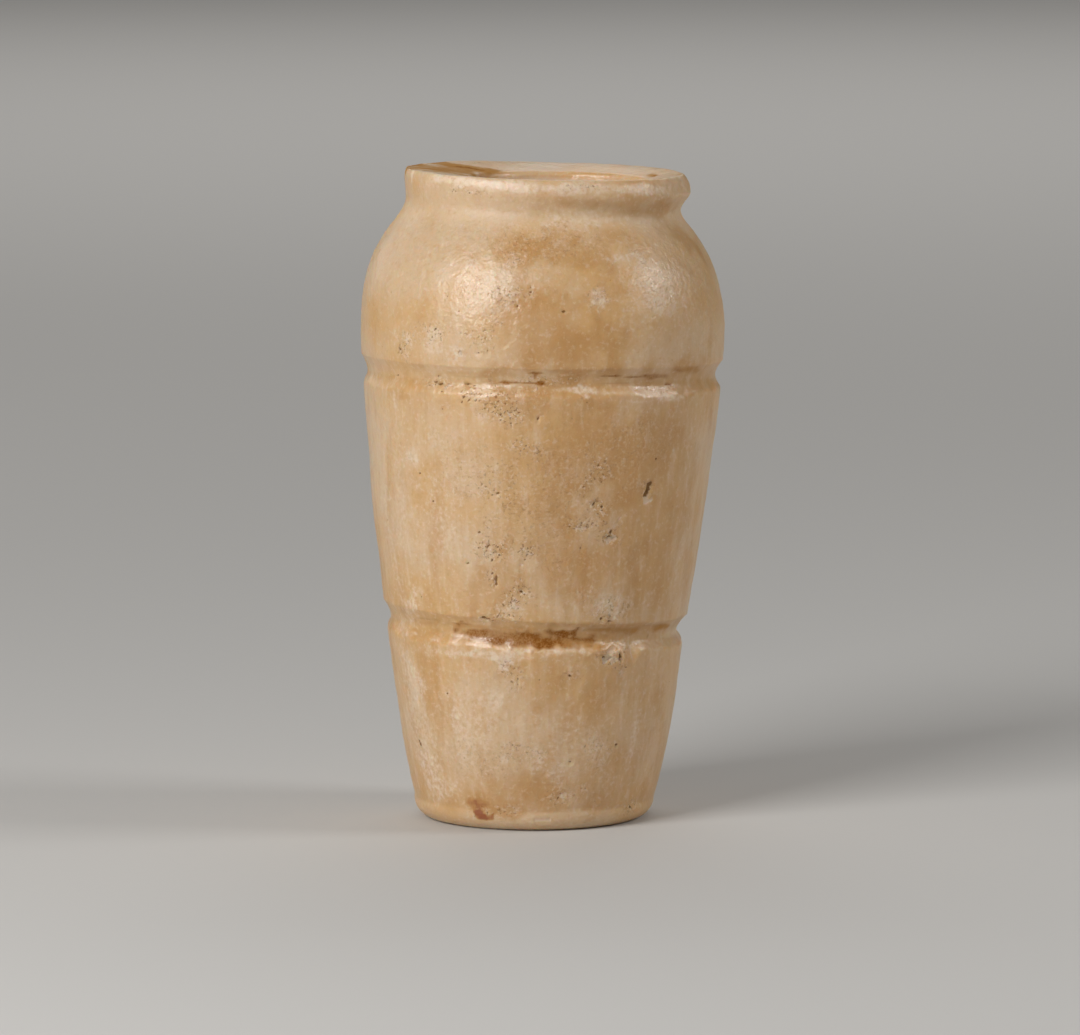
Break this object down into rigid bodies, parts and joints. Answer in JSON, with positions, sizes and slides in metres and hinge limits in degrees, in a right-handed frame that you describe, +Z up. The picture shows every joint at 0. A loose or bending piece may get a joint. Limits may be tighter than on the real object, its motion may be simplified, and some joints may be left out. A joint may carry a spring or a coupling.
{
  "type": "canopic jar",
  "caption": "Lidless hollow stone jar with a tapered body, full shoulder, cut grooves, short neck and thick rolled rim around an off-centre round mouth.",
  "frame": {"origin": "centre of the flat underside of the foot", "axes": "+Z up the jar, -Y towards the front that the picture shows, +X to the right seen from the front"},
  "size_m": [0.1292, 0.1292, 0.2311],
  "materials": {
    "alabaster": "satin"
  },
  "bodies": {
    "root": {"jar": "alabaster"}
  },
  "joints": []
}
